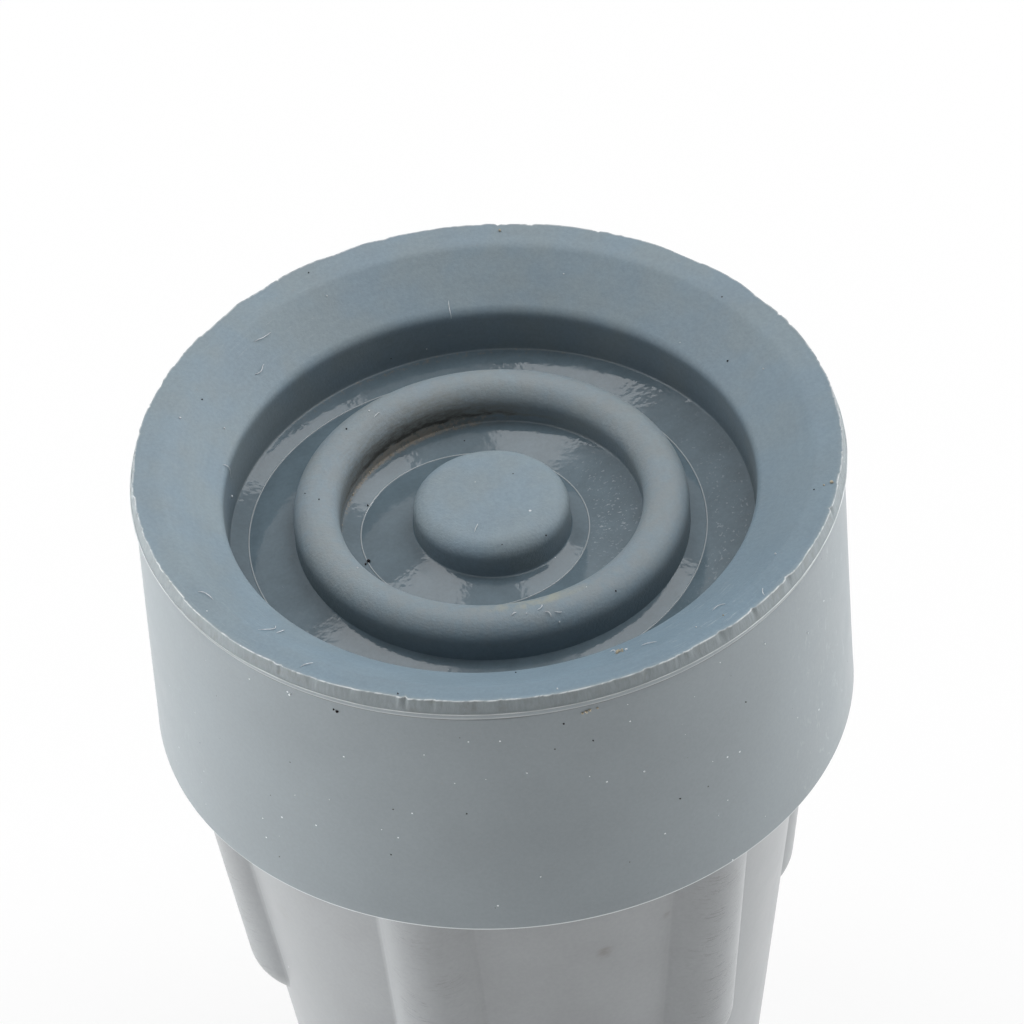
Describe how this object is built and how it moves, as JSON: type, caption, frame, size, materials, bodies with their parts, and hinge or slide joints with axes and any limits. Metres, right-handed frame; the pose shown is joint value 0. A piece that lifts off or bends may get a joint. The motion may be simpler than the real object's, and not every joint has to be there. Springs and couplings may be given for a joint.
{
  "type": "rubber cane tip",
  "caption": "Moulded rubber tip for a cane or crutch: a wide round foot with a dished, ringed tread on a tapered ribbed neck with a blind socket.",
  "frame": {"origin": "centre of the socket's mouth, at the level of the face that the tip stands on", "axes": "+Z along the axis from the socket's mouth to the tread, +X through the crest of one rib"},
  "size_m": [0.0398, 0.0398, 0.048],
  "materials": {
    "rubber": "matte grey-blue moulded rubber"
  },
  "bodies": {
    "root": {"cane_tip": "rubber"}
  },
  "joints": []
}
